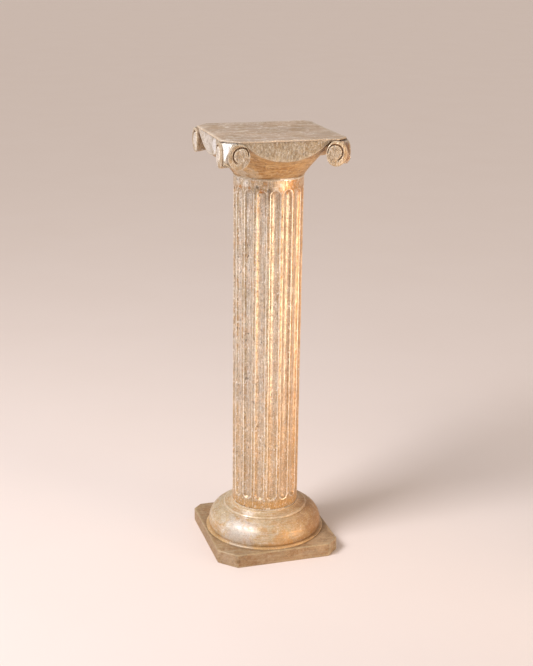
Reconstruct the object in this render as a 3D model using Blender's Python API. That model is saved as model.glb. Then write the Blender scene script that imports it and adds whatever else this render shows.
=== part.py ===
"""Column pedestal: a fluted wooden column on a turned base and a square plinth.

The capital has a flat curved tongue on each side and a pair of scrolls at each
canted corner, under a thin square top board. The origin is the middle of the
underside, +Z points up and -Y is the front. All lengths are metres.
"""
from math import asin, cos, hypot, pi, radians, sin, sqrt

import bmesh
import bpy
from mathutils import Matrix, Vector

# Joints between pieces
JOINT_GAP = 0.0003

# Plinth
PLINTH_HALF_WIDTH = 0.147
PLINTH_THICKNESS = 0.0323
PLINTH_EDGE_WEAR = 0.0014
PLINTH_CANTS = {"front_left": 0.039, "front_right": 0.029, "back_right": 0.027, "back_left": 0.021}

# Turned base, from its foot upwards
BASE_MARGIN = 0.0045
BASE_FILLET_HEIGHT = 0.0035
BASE_FILLET_PROJECTION = 0.0065
DOME_HEIGHT = 0.0524
DOME_BELLY_HEIGHT = 0.0139
DOME_TURN_IN = 0.0035
BASE_BEAD_RADIUS = 0.0038
HOLLOW_HEIGHT = 0.0086
HOLLOW_WIDTH = 0.0155
SEAT_MARGIN = 0.0025

# Fluted shaft
SHAFT_LENGTH = 0.797
SHAFT_FOOT_RADIUS = 0.0789
SHAFT_NECK_RADIUS = 0.0798
FLUTE_COUNT = 16
FLUTE_DEPTH = 0.006
FILLET_WIDTH = 0.009
FLUTE_FOOT_MARGIN = 0.025
FLUTE_HEAD_MARGIN = 0.023
FIRST_FLUTE_AZIMUTH = radians(-117.5)

# Capital
CAPITAL_HEIGHT = 0.0934
TOP_HALF_WIDTH = 0.1415
TOP_CANTS = {"front_left": 0.036, "front_right": 0.026, "back_right": 0.020, "back_left": 0.032}
SIDE_BOWS = {"front": 0.006, "right": 0.003, "back": 0.003, "left": 0.003}
NECK_BEAD_RADIUS = 0.002
BELL_FOOT_PROJECTION = 0.0014
BELL_STEP = 0.0007
BELL_HEIGHT = 0.0592
BELL_SETBACK = 0.0115
TONGUE_DROP = 0.0437
TONGUE_END_DROP = 0.0122
TONGUE_END_LAP = 0.001
TONGUE_SHOULDER_LAP = 0.0184
TONGUE_SHOULDER_DROP = 0.0075
TONGUE_SETBACK = 0.0008
TONGUE_COVE_DEPTH = 0.018
TONGUE_COVE_DROP = 0.0095
SCROLL_INSET = 0.032
SCROLL_DROP = 0.0272
SCROLL_HALF_WIDTH = 0.0245
SCROLL_HALF_HEIGHT = 0.0285
SCROLL_DEPTH = 0.040
SCROLL_BACK_WIDTH_SCALE = 0.62
SCROLL_BACK_HEIGHT_SCALE = 0.86
SCROLL_BACK_SHIFT = 0.0085
EYE_INSET = 0.0370
EYE_DROP = 0.0252
GROOVE_RADIUS = 0.0172
GROOVE_RUN_IN = 0.006
GROOVE_WIDTH = 0.0034
GROOVE_DEPTH = 0.0026
GROOVE_START = radians(12)
GROOVE_END = radians(238)
FACET_FOOT_CANT = 0.015
FACET_FOOT_DROP = 0.0357
CORNER_BLOCK_LAP = 0.0185
CORNER_BLOCK_DEPTH = 0.0412
CORNER_BLOCK_DROP = 0.0495

# Top board
BOARD_THICKNESS = 0.004

# Fineness of the facets
TURNED_SEGMENTS = 60
FLUTE_QUARTER_STEPS = 3
SCROLL_SEGMENTS = 24
GROOVE_STEPS = 11
TONGUE_COLUMNS = 12
BOARD_SIDE_STEPS = 6

# Heights of the joints, worked out from the pieces
BASE_BOTTOM = PLINTH_THICKNESS + JOINT_GAP
BASE_HEIGHT = BASE_FILLET_HEIGHT + DOME_HEIGHT + 2 * BASE_BEAD_RADIUS + HOLLOW_HEIGHT
SHAFT_BOTTOM = BASE_BOTTOM + BASE_HEIGHT + JOINT_GAP
CAPITAL_BOTTOM = SHAFT_BOTTOM + SHAFT_LENGTH + JOINT_GAP
CAPITAL_TOP = CAPITAL_BOTTOM + CAPITAL_HEIGHT
BOARD_BOTTOM = CAPITAL_TOP + JOINT_GAP

# How far the capital's parts run past its top before they are planed flush
TRIM_ALLOWANCE = 0.003

# Points closer than this are one point
SAME_POINT = 1e-6

SIDES = ("front", "right", "back", "left")
CORNERS = ("front_right", "back_right", "back_left", "front_left")
QUARTER_TURN = pi / 2


def clear_scene():
    for obj in list(bpy.data.objects):
        bpy.data.objects.remove(obj, do_unlink=True)


def finish_material(name, hex_colour, roughness, metallic):
    """A plain material: the hex colour is sRGB and is turned to linear here."""
    def linear(channel):
        value = int(channel, 16) / 255
        return value / 12.92 if value <= 0.04045 else ((value + 0.055) / 1.055) ** 2.4

    material = bpy.data.materials.new(name)
    material.use_nodes = True
    shader = material.node_tree.nodes["Principled BSDF"]
    rgb = [linear(hex_colour[i:i + 2]) for i in (0, 2, 4)]
    shader.inputs["Base Color"].default_value = (*rgb, 1)
    shader.inputs["Roughness"].default_value = roughness
    shader.inputs["Metallic"].default_value = metallic
    return material


def add_piece(name, bm, material=None):
    """Turn a bmesh into an object; one without a material is a hidden tool."""
    bmesh.ops.recalc_face_normals(bm, faces=bm.faces)
    mesh = bpy.data.meshes.new(name)
    bm.to_mesh(mesh)
    bm.free()
    obj = bpy.data.objects.new(name, mesh)
    if material:
        bpy.context.scene.collection.objects.link(obj)
        mesh.materials.append(material)
    else:
        obj.hide_render = True
        obj.display_type = "WIRE"
    return obj


def shade_round(obj, sharp_angle=35):
    obj.data.shade_smooth()
    obj.data.set_sharp_from_angle(angle=radians(sharp_angle))


def arc(centre, radius_out, radius_up, start, end, steps):
    """Points (radius, height) along an elliptical arc, angles in degrees."""
    angles = [radians(start + (end - start) * i / steps) for i in range(steps + 1)]
    return [(centre[0] + radius_out * cos(a), centre[1] + radius_up * sin(a)) for a in angles]


def turned_body(profile):
    """Spin a profile that starts and ends on the axis into a closed solid."""
    bm = bmesh.new()
    verts = [bm.verts.new((radius, 0, height)) for radius, height in profile]
    edges = [bm.edges.new(pair) for pair in zip(verts, verts[1:])]
    bmesh.ops.spin(
        bm, geom=verts + edges, cent=(0, 0, 0), axis=(0, 0, 1), angle=2 * pi,
        steps=TURNED_SEGMENTS, use_merge=True, use_duplicate=False,
    )
    bmesh.ops.remove_doubles(bm, verts=bm.verts, dist=SAME_POINT)
    return bm


def side_recess(bow, along):
    """How far a bowed side lies behind its corners, at a place along it."""
    return bow * (1 - (along / TOP_HALF_WIDTH) ** 2)


def canted_outline(half_width, cants, bows=None, steps=1):
    """Corner points of a square with canted corners and slightly hollow sides."""
    points = []
    for turn, side in enumerate(SIDES):
        start = -half_width + cants[CORNERS[turn - 1]]
        end = half_width - cants[CORNERS[turn]]
        for i in range(steps + 1):
            along = start + (end - start) * i / steps
            recess = side_recess(bows[side], along) if bows else 0
            point = Vector((along, -half_width + recess, 0))
            points.append(Matrix.Rotation(turn * QUARTER_TURN, 3, "Z") @ point)
    return points


def slab(outline, bottom, thickness):
    bm = bmesh.new()
    face = bm.faces.new([bm.verts.new((p.x, p.y, bottom)) for p in outline])
    raised = bmesh.ops.extrude_face_region(bm, geom=[face])["geom"]
    upper = [v for v in raised if isinstance(v, bmesh.types.BMVert)]
    bmesh.ops.translate(bm, vec=(0, 0, thickness), verts=upper)
    return bm


def make_plinth(material):
    bm = slab(canted_outline(PLINTH_HALF_WIDTH, PLINTH_CANTS), 0, PLINTH_THICKNESS)
    top_edges = [e for e in bm.edges if all(v.co.z > PLINTH_THICKNESS / 2 for v in e.verts)]
    bmesh.ops.bevel(
        bm, geom=top_edges, offset=PLINTH_EDGE_WEAR, offset_type="OFFSET",
        segments=2, profile=0.5, affect="EDGES", material=-1,
    )
    return add_piece("plinth", bm, material)


def make_base_moulding(material):
    foot_radius = PLINTH_HALF_WIDTH - BASE_MARGIN
    belly_radius = foot_radius - BASE_FILLET_PROJECTION
    seat_radius = SHAFT_FOOT_RADIUS + SEAT_MARGIN
    shoulder_radius = seat_radius + HOLLOW_WIDTH
    fillet_top = BASE_BOTTOM + BASE_FILLET_HEIGHT
    belly = fillet_top + DOME_BELLY_HEIGHT
    dome_top = fillet_top + DOME_HEIGHT
    bead = dome_top + BASE_BEAD_RADIUS
    bead_top = bead + BASE_BEAD_RADIUS
    seat = bead_top + HOLLOW_HEIGHT
    profile = [(0, seat)]
    profile += arc((shoulder_radius, seat), HOLLOW_WIDTH, HOLLOW_HEIGHT, 180, 270, 4)
    profile += arc((shoulder_radius, bead), BASE_BEAD_RADIUS, BASE_BEAD_RADIUS, 90, -90, 4)[1:]
    dome_width = belly_radius - shoulder_radius
    profile += arc((shoulder_radius, belly), dome_width, dome_top - belly, 90, 0, 7)[1:]
    profile += arc((belly_radius - DOME_TURN_IN, belly), DOME_TURN_IN, DOME_BELLY_HEIGHT, 0, -90, 3)[1:]
    profile += [(foot_radius, fillet_top), (foot_radius, BASE_BOTTOM), (0, BASE_BOTTOM)]
    obj = add_piece("base_moulding", turned_body(profile), material)
    shade_round(obj)
    return obj


def shaft_radius(height):
    share = (height - SHAFT_BOTTOM) / SHAFT_LENGTH
    return SHAFT_FOOT_RADIUS + (SHAFT_NECK_RADIUS - SHAFT_FOOT_RADIUS) * share


def flute_cut(across, height, half_width):
    """Depth of a round-ended flute at a place across it and up the shaft."""
    foot = SHAFT_BOTTOM + FLUTE_FOOT_MARGIN + half_width
    head = SHAFT_BOTTOM + SHAFT_LENGTH - FLUTE_HEAD_MARGIN - half_width
    beyond = max(foot - height, height - head, 0)
    reach = hypot(across, beyond)
    if reach >= half_width:
        return 0
    gouge_radius = (half_width ** 2 + FLUTE_DEPTH ** 2) / (2 * FLUTE_DEPTH)
    return sqrt(gouge_radius ** 2 - reach ** 2) - (gouge_radius - FLUTE_DEPTH)


def make_shaft(material):
    """Rings of points: each flute has columns that fall on its round ends."""
    columns_per_flute = 2 * FLUTE_QUARTER_STEPS + 1
    columns = FLUTE_COUNT * columns_per_flute
    mean_radius = (SHAFT_FOOT_RADIUS + SHAFT_NECK_RADIUS) / 2
    half_width = (2 * pi * mean_radius / FLUTE_COUNT - FILLET_WIDTH) / 2
    quarter = [QUARTER_TURN * i / FLUTE_QUARTER_STEPS for i in range(FLUTE_QUARTER_STEPS + 1)]
    foot_end = SHAFT_BOTTOM + FLUTE_FOOT_MARGIN
    head_end = SHAFT_BOTTOM + SHAFT_LENGTH - FLUTE_HEAD_MARGIN
    levels = [SHAFT_BOTTOM]
    levels += [foot_end + half_width * (1 - cos(a)) for a in quarter]
    levels += [head_end - half_width * (1 - cos(a)) for a in reversed(quarter)]
    levels += [SHAFT_BOTTOM + SHAFT_LENGTH]

    def place(column, height):
        flute, step = divmod(column, columns_per_flute)
        across = -half_width * cos(step * QUARTER_TURN / FLUTE_QUARTER_STEPS)
        radius = shaft_radius(height)
        azimuth = asin(across / radius)
        out = radius * cos(azimuth) - flute_cut(across, height, half_width)
        point = Vector((out, radius * sin(azimuth), height))
        turn = FIRST_FLUTE_AZIMUTH + 2 * pi * flute / FLUTE_COUNT
        return Matrix.Rotation(turn, 3, "Z") @ point

    bm = bmesh.new()
    rings = [[bm.verts.new(place(c, height)) for c in range(columns)] for height in levels]
    for lower, upper in zip(rings, rings[1:]):
        for c in range(columns):
            d = (c + 1) % columns
            face = bm.faces.new((lower[c], lower[d], upper[d], upper[c]))
            split_at_flute_end(face, half_width)
    bm.faces.new(reversed(rings[0]))
    bm.faces.new(rings[-1])
    obj = add_piece("shaft", bm, material)
    shade_round(obj)
    return obj


def split_at_flute_end(face, half_width):
    """Cut a square that a flute's round end crosses, along that end."""
    corners = list(face.verts)
    cut = [shaft_radius(v.co.z) - hypot(v.co.x, v.co.y) > SAME_POINT for v in corners]
    if sum(cut) == 1:
        i = cut.index(True)
        bmesh.utils.face_split(face, corners[i - 1], corners[(i + 1) % 4])


def make_bell():
    """The turned bell, from the neck bead up to a drum inside the tongues."""
    foot_radius = SHAFT_NECK_RADIUS + BELL_FOOT_PROJECTION
    top_radius = TOP_HALF_WIDTH - BELL_SETBACK
    bead_centre = (foot_radius - NECK_BEAD_RADIUS, CAPITAL_BOTTOM + NECK_BEAD_RADIUS)
    flare_bottom = CAPITAL_BOTTOM + 2 * NECK_BEAD_RADIUS
    top = CAPITAL_TOP + TRIM_ALLOWANCE
    profile = [(0, top), (top_radius, top), (top_radius, flare_bottom + BELL_HEIGHT)]
    profile += [(foot_radius - BELL_STEP, flare_bottom)]
    profile += arc(bead_centre, NECK_BEAD_RADIUS, NECK_BEAD_RADIUS, 60, -90, 4)
    profile += [(0, CAPITAL_BOTTOM)]
    return turned_body(profile)


def scroll_centre():
    return TOP_HALF_WIDTH - SCROLL_INSET


def make_tongue_slab(turn):
    """A slab between two opposite sides whose ends are the curved tongues."""
    near, far = SIDES[turn], SIDES[turn + 2]
    scroll_edge = scroll_centre() - SCROLL_HALF_WIDTH
    half_span = scroll_edge + TONGUE_END_LAP
    rise = TONGUE_DROP - TONGUE_END_DROP
    curve_radius = (half_span ** 2 + rise ** 2) / (2 * rise)
    shoulder = scroll_edge + TONGUE_SHOULDER_LAP
    places = [half_span * (2 * i / TONGUE_COLUMNS - 1) for i in range(TONGUE_COLUMNS + 1)]
    places = [-shoulder, *places, shoulder]

    def lower_edge(along):
        if abs(along) > half_span:
            return CAPITAL_TOP - TONGUE_SHOULDER_DROP
        return CAPITAL_TOP - TONGUE_DROP + curve_radius - sqrt(curve_radius ** 2 - along ** 2)

    def section(along):
        """A slice from front to back: the underside drops behind each face in a cove."""
        near_face = -TOP_HALF_WIDTH + TONGUE_SETBACK + side_recess(SIDE_BOWS[near], along)
        far_face = TOP_HALF_WIDTH - TONGUE_SETBACK - side_recess(SIDE_BOWS[far], along)
        edge, top = lower_edge(along), CAPITAL_TOP + TRIM_ALLOWANCE
        near_cove = (near_face + TONGUE_COVE_DEPTH, edge - TONGUE_COVE_DROP)
        far_cove = (far_face - TONGUE_COVE_DEPTH, edge - TONGUE_COVE_DROP)
        return [(near_face, top), (near_face, edge), near_cove, far_cove, (far_face, edge), (far_face, top)]

    bm = bmesh.new()
    slices = [[bm.verts.new((along, y, z)) for y, z in section(along)] for along in places]
    for left, right in zip(slices, slices[1:]):
        for k in range(len(left)):
            bm.faces.new((left[k - 1], left[k], right[k], right[k - 1]))
    bm.faces.new(slices[0])
    bm.faces.new(slices[-1])
    turn_to_side(bm, turn, 1)
    return bm


def make_scroll(turn, hand):
    """One scroll, built on the front side at +X and turned to its place."""
    bm = bmesh.new()
    bmesh.ops.create_circle(bm, cap_ends=True, segments=SCROLL_SEGMENTS, radius=1)
    drawn = bmesh.ops.extrude_face_region(bm, geom=list(bm.faces))["geom"]
    back = [v for v in drawn if isinstance(v, bmesh.types.BMVert)]
    front = [v for v in bm.verts if v not in back]
    centre_height = CAPITAL_TOP - SCROLL_DROP
    for v in front:
        x, z = v.co.x * SCROLL_HALF_WIDTH, v.co.y * SCROLL_HALF_HEIGHT
        v.co = (scroll_centre() + x, -TOP_HALF_WIDTH, centre_height + z)
    for v in back:
        x, z = v.co.x * SCROLL_HALF_WIDTH, v.co.y * SCROLL_HALF_HEIGHT
        x = x * SCROLL_BACK_WIDTH_SCALE + SCROLL_BACK_SHIFT
        z = z * SCROLL_BACK_HEIGHT_SCALE
        v.co = (scroll_centre() + x, -TOP_HALF_WIDTH + SCROLL_DEPTH, centre_height + z)
    turn_to_side(bm, turn, hand)
    return bm


def turn_to_side(bm, turn, hand):
    """Take a shape made at the front right to its side, mirrored for a left hand."""
    to_side = Matrix.Rotation(turn * QUARTER_TURN, 3, "Z")
    bmesh.ops.scale(bm, vec=(hand, 1, 1), verts=bm.verts)
    bmesh.ops.rotate(bm, cent=(0, 0, 0), matrix=to_side, verts=bm.verts)


def make_groove(turn, hand):
    """The curling groove round a scroll's eye, as a diamond-shaped cutter."""
    eye = Vector((TOP_HALF_WIDTH - EYE_INSET, -TOP_HALF_WIDTH, CAPITAL_TOP - EYE_DROP))
    section = [(GROOVE_WIDTH / 2, 0), (0, GROOVE_DEPTH), (-GROOVE_WIDTH / 2, 0), (0, -GROOVE_DEPTH)]
    bm = bmesh.new()
    rings = []
    for i in range(GROOVE_STEPS + 1):
        share = i / GROOVE_STEPS
        angle = GROOVE_START + (GROOVE_END - GROOVE_START) * share
        radius = GROOVE_RADIUS + GROOVE_RUN_IN * (1 - share) ** 3
        outward = Vector((-cos(angle), 0, sin(angle)))
        rings.append([bm.verts.new(eye + outward * (radius + r) + Vector((0, y, 0))) for r, y in section])
    for first, second in zip(rings, rings[1:]):
        for k in range(4):
            bm.faces.new((first[k], first[k - 1], second[k - 1], second[k]))
    bm.faces.new(rings[0])
    bm.faces.new(rings[-1])
    turn_to_side(bm, turn, hand)
    return bm


def cut_away(bm, point, normal):
    """Slice off what lies beyond a plane and close the cut."""
    geometry = bm.verts[:] + bm.edges[:] + bm.faces[:]
    cut = bmesh.ops.bisect_plane(bm, geom=geometry, plane_co=point, plane_no=normal, clear_outer=True)
    rim = [e for e in cut["geom_cut"] if isinstance(e, bmesh.types.BMEdge)]
    bmesh.ops.contextual_create(bm, geom=rim)


def make_corner_block(turn, cant):
    """The wedge behind a pair of scrolls, with its sloping three-cornered facet."""
    outer = TOP_HALF_WIDTH - TONGUE_SETBACK
    inner = outer - CORNER_BLOCK_DEPTH
    bottom = CAPITAL_TOP - CORNER_BLOCK_DROP
    top = CAPITAL_TOP + TRIM_ALLOWANCE
    size = Vector((outer - inner, outer - inner, top - bottom))
    centre = Vector(((outer + inner) / 2, -(outer + inner) / 2, (top + bottom) / 2))
    bm = bmesh.new()
    bmesh.ops.create_cube(bm, size=1, matrix=Matrix.Translation(centre) @ Matrix.Diagonal((*size, 1)))
    slope = (cant - FACET_FOOT_CANT) / FACET_FOOT_DROP
    cut_away(bm, (TOP_HALF_WIDTH, -TOP_HALF_WIDTH + cant, CAPITAL_TOP), (1, -1, slope))
    flank = scroll_centre() - SCROLL_HALF_WIDTH + CORNER_BLOCK_LAP
    normal = Vector((inner - outer, inner - flank, 0))
    cut_away(bm, (flank, -outer, top), normal)
    cut_away(bm, (outer, -flank, top), (-normal.y, -normal.x, 0))
    turn_to_side(bm, turn, 1)
    return bm


def make_trim():
    """Everything above the capital's flat top."""
    height = 2 * SCROLL_HALF_HEIGHT
    width = 3 * TOP_HALF_WIDTH
    bm = bmesh.new()
    centre = Matrix.Translation((0, 0, CAPITAL_TOP + height / 2))
    bmesh.ops.create_cube(bm, size=1, matrix=centre @ Matrix.Diagonal((width, width, height, 1)))
    return bm


def join_or_cut(target, name, tools, operation):
    """A Boolean of several tools at once, which stay in a collection of their own."""
    group = bpy.data.collections.new(name)
    for tool in tools:
        group.objects.link(tool)
    modifier = target.modifiers.new(name, "BOOLEAN")
    modifier.operand_type = "COLLECTION"
    modifier.collection = group
    modifier.operation = operation
    modifier.solver = "EXACT"


def make_capital(material):
    obj = add_piece("capital", make_bell(), material)
    added = [add_piece(f"tool_tongues_{turn}", make_tongue_slab(turn)) for turn in (0, 1)]
    cutters = [add_piece("tool_trim", make_trim())]
    for turn, corner in enumerate(CORNERS):
        added.append(add_piece(f"tool_corner_{corner}", make_corner_block(turn, TOP_CANTS[corner])))
        for hand in (1, -1):
            label = f"{SIDES[turn]}_{'right' if hand > 0 else 'left'}"
            added.append(add_piece(f"tool_scroll_{label}", make_scroll(turn, hand)))
            cutters.append(add_piece(f"tool_groove_{label}", make_groove(turn, hand)))
    join_or_cut(obj, "carved_block", added, "UNION")
    join_or_cut(obj, "carving_cuts", cutters, "DIFFERENCE")
    shade_round(obj)
    return obj


def make_top_board(material):
    outline = canted_outline(TOP_HALF_WIDTH, TOP_CANTS, SIDE_BOWS, BOARD_SIDE_STEPS)
    return add_piece("top_board", slab(outline, BOARD_BOTTOM, BOARD_THICKNESS), material)


def main():
    clear_scene()
    make_plinth(finish_material("limed_gilt_plinth", "C2A888", 0.5, 0.15))
    make_base_moulding(finish_material("limed_gilt_base", "CDB08C", 0.42, 0.2))
    make_shaft(finish_material("limed_gilt_shaft", "D6B48A", 0.42, 0.25))
    make_capital(finish_material("limed_gilt_capital", "C39E78", 0.48, 0.2))
    make_top_board(finish_material("limed_gilt_board", "B99C82", 0.5, 0.12))


main()
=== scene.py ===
"""Looks of a fluted column pedestal of carved wood with worn champagne gilding.

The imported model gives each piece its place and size. Every piece is made again here
with its fine carving, as the lathe, the gouge and years of handling leave it, and
gets its finish. All lengths are metres, +Z points up and -Y is the front.
"""
from math import atan2, cos, degrees, exp, hypot, pi, radians, sin, sqrt

import bmesh
import bpy
import numpy
from mathutils import Matrix, Vector
from mathutils.bvhtree import BVHTree
from mathutils.noise import noise


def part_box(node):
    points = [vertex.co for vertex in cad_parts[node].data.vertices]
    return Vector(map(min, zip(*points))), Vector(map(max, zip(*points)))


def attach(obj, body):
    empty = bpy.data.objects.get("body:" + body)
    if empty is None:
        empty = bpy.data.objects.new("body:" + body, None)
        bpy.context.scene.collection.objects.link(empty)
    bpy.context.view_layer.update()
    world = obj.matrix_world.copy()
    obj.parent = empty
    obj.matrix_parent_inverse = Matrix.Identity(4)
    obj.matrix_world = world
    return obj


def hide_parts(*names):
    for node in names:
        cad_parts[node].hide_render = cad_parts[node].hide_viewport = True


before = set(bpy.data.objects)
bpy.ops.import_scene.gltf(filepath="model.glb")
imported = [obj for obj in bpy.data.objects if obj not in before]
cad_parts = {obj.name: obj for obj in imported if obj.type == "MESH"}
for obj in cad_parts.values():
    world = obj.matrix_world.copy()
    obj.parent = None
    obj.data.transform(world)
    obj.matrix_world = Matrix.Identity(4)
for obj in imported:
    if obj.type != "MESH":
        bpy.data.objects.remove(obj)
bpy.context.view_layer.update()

SIDES = ("front", "right", "back", "left")
CORNERS = ("front_right", "back_right", "back_left", "front_left")
QUARTER_TURN = pi / 2
MM = 0.001

# Camera, fitted to the photograph's edges and circles
CAMERA_PLACE = Vector((-0.8024, -2.6331, 1.4162))
CAMERA_FORWARD = Vector((0.27719, 0.91017, -0.30785))
CAMERA_ROLL = radians(0.7258)
CAMERA_LENS = 66.57
CAMERA_LONG_SIDE = 36

# Plinth
PLINTH_CANTS = {"front_left": 39 * MM, "front_right": 29 * MM, "back_right": 27 * MM, "back_left": 21 * MM}
PLINTH_EDGE_WEAR = 1.6 * MM
PLINTH_GRID = 7 * MM

# Turned base
BASE_FILLET_HEIGHT = 3.5 * MM
BASE_FILLET_PROJECTION = 6.5 * MM
DOME_HEIGHT = 52.4 * MM
DOME_BELLY_HEIGHT = 13.9 * MM
DOME_TURN_IN = 3.5 * MM
BASE_BEAD_RADIUS = 3.8 * MM
HOLLOW_HEIGHT = 8.6 * MM
HOLLOW_WIDTH = 15.5 * MM
SEAT_MARGIN = 2.5 * MM

# Shaft
SHAFT_FOOT_RADIUS = 78.9 * MM
SHAFT_NECK_RADIUS = 79.8 * MM
FLUTE_COUNT = 16
FLUTE_DEPTH = 6.2 * MM
FILLET_WIDTH = 9 * MM
FLUTE_FOOT_MARGIN = 25 * MM
FLUTE_HEAD_MARGIN = 23 * MM
FIRST_FLUTE_AZIMUTH = radians(-117.5)
ARRIS_WEAR = 0.55 * MM
ARRIS_WEAR_WIDTH = 0.9 * MM
# Reach of the orange glaze and painted shade under each flute's head
FLUTE_HEAD_SHADE_REACH = 4.2 * MM
FLUTE_COLUMNS = 20
FILLET_COLUMNS = 7
FLUTE_END_ZONE = 18 * MM
END_LEVEL_STEP = 1.4 * MM
MIDDLE_LEVEL_STEP = 6.5 * MM

# Capital; the scrolls stand out past the tongues and the board
TOP_HALF_WIDTH = 141.5 * MM
TOP_CANTS = {"front_left": 36 * MM, "front_right": 26 * MM, "back_right": 20 * MM, "back_left": 32 * MM}
SIDE_BOWS = {"front": 6 * MM, "right": 3 * MM, "back": 3 * MM, "left": 3 * MM}
NECK_BEAD_RADIUS = 2 * MM
BELL_FOOT_PROJECTION = 1.4 * MM
BELL_STEP = 0.7 * MM
BELL_HEIGHT = 59.2 * MM
BELL_SETBACK = 11.5 * MM
BELL_SAG = 1.2 * MM
TONGUE_DROP = 43.7 * MM
TONGUE_END_DROP = 12.2 * MM
TONGUE_SETBACK = 0.8 * MM
TONGUE_EDGE_ROUND = 1.8 * MM
TONGUE_COVE_DEPTH = 18 * MM
TONGUE_COVE_DROP = 9.5 * MM
TONGUE_LAP = 18.4 * MM
SCROLL_INSET = 32 * MM
SCROLL_DROP = 27.2 * MM
SCROLL_HALF_WIDTH = 24.5 * MM
SCROLL_HALF_HEIGHT = 28.5 * MM
SCROLL_DEPTH = 40 * MM
SCROLL_PROJECTION = 5.4 * MM
SCROLL_BACK_WIDTH_SCALE = 0.62
SCROLL_BACK_HEIGHT_SCALE = 0.86
SCROLL_BACK_SHIFT = 8.5 * MM
EYE_MARGIN = 4.6 * MM
EYE_SINK = 1.1 * MM
PLAIN_SINK = 1.6 * MM
PLAIN_ROUNDING = 1.3 * MM
BAND_SINK = 1.0 * MM
BAND_ROUNDING = 1.9 * MM
RIM_SINK = 2.9 * MM
EYE_INSET = 36.5 * MM
EYE_DROP = 25.4 * MM
GROOVE_RADIUS = 17.6 * MM
GROOVE_RUN_IN = 4.5 * MM
GROOVE_WIDTH = 4.2 * MM
GROOVE_DEPTH = 3.3 * MM
GROOVE_MARGIN = 1.6 * MM
FACET_HEAD_CANT = 29 * MM
FACET_FOOT_CANT = 9 * MM
FACET_FOOT_DROP = 40 * MM
FACET_UNDERCUT = 1.6
CORNER_BLOCK_LAP = 18.5 * MM
CORNER_BLOCK_DEPTH = 36 * MM
CORNER_BLOCK_DROP = 49.5 * MM
CORNER_BLOCK_SETBACK = 4.6 * MM
JOINT_GAPE = 3.4 * MM

# Finishes on the capital by slot: bell, tongues, scroll bands with neck bead, corners, scroll eyes
BRUSHED, STIPPLED, BURNISHED, SILVERED, DOTTED = 0, 1, 2, 3, 4

# Top board
BOARD_GRID = 7 * MM
BOARD_EDGE_ROUND = 0.9 * MM

# Heights and half widths that the frame gives
PLINTH_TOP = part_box("plinth")[1].z
PLINTH_HALF_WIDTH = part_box("plinth")[1].x
BASE_BOTTOM, BASE_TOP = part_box("base_moulding")[0].z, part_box("base_moulding")[1].z
BASE_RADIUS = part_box("base_moulding")[1].x
SHAFT_BOTTOM, SHAFT_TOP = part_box("shaft")[0].z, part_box("shaft")[1].z
CAPITAL_BOTTOM, CAPITAL_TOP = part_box("capital")[0].z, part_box("capital")[1].z
BOARD_BOTTOM, BOARD_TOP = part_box("top_board")[0].z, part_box("top_board")[1].z


# Carving tools

def step_up(low, high, value):
    """0 below low, 1 above high, and a smooth rise between them."""
    share = min(max((value - low) / (high - low), 0), 1)
    return share * share * (3 - 2 * share)


def unevenness(point, spacing, seed=0):
    """A smooth random height from -1 to 1 that changes over about one spacing."""
    return noise(point / spacing + Vector((seed * 7.31, seed * 3.17, seed * 5.53)))


def arc(centre, radius_out, radius_up, start, end, steps):
    """Points (radius, height) along an elliptical arc, angles in degrees."""
    angles = [radians(start + (end - start) * i / steps) for i in range(steps + 1)]
    return [(centre[0] + radius_out * cos(a), centre[1] + radius_up * sin(a)) for a in angles]


def turned_blank(profile, segments):
    """Turn a profile (radius, height) about the Z axis, as on a lathe."""
    bm = bmesh.new()
    verts = [bm.verts.new((radius, 0, height)) for radius, height in profile]
    edges = [bm.edges.new(pair) for pair in zip(verts, verts[1:])]
    bmesh.ops.spin(
        bm, geom=verts + edges, cent=(0, 0, 0), axis=(0, 0, 1), angle=2 * pi,
        steps=segments, use_merge=True, use_duplicate=False,
    )
    bmesh.ops.remove_doubles(bm, verts=bm.verts, dist=1e-6)
    return bm


def drawn_bar(section, places):
    """Draw a closed section out along X, one length after another."""
    bm = bmesh.new()
    face = bm.faces.new([bm.verts.new((places[0], y, z)) for y, z in section])
    for start, end in zip(places, places[1:]):
        drawn = bmesh.ops.extrude_face_region(bm, geom=[face])["geom"]
        face = next(g for g in drawn if isinstance(g, bmesh.types.BMFace))
        bmesh.ops.translate(bm, vec=(end - start, 0, 0), verts=list(face.verts))
    return bm


def cut_away(bm, point, normal):
    """Slice off what lies beyond a plane and close the cut."""
    geometry = bm.verts[:] + bm.edges[:] + bm.faces[:]
    cut = bmesh.ops.bisect_plane(bm, geom=geometry, plane_co=point, plane_no=normal, clear_outer=True)
    rim = [e for e in cut["geom_cut"] if isinstance(e, bmesh.types.BMEdge)]
    bmesh.ops.contextual_create(bm, geom=rim)


def score(bm, axis, low, high, spacing):
    """Divide a block by parallel planes, so that its faces can be worked."""
    normal = Vector((0, 0, 0))
    normal[axis] = 1
    for i in range(1, round((high - low) / spacing)):
        point = normal * (low + i * spacing)
        geometry = bm.verts[:] + bm.edges[:] + bm.faces[:]
        bmesh.ops.bisect_plane(bm, geom=geometry, plane_co=point, plane_no=normal)


def work_surface(bm, depth, spacing, seed, held=lambda point: 1):
    """Move the surface in and out a little, as hand work leaves it."""
    bm.normal_update()
    moves = [v.normal * depth * unevenness(v.co, spacing, seed) * held(v.co) for v in bm.verts]
    for v, move in zip(bm.verts, moves):
        v.co += move


def turn_to_side(bm, turn, hand=1):
    """Take a shape made at the front right to its side, mirrored for a left hand."""
    bmesh.ops.scale(bm, vec=(hand, 1, 1), verts=bm.verts)
    turned = Matrix.Rotation(turn * QUARTER_TURN, 3, "Z")
    bmesh.ops.rotate(bm, cent=(0, 0, 0), matrix=turned, verts=bm.verts)


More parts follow.
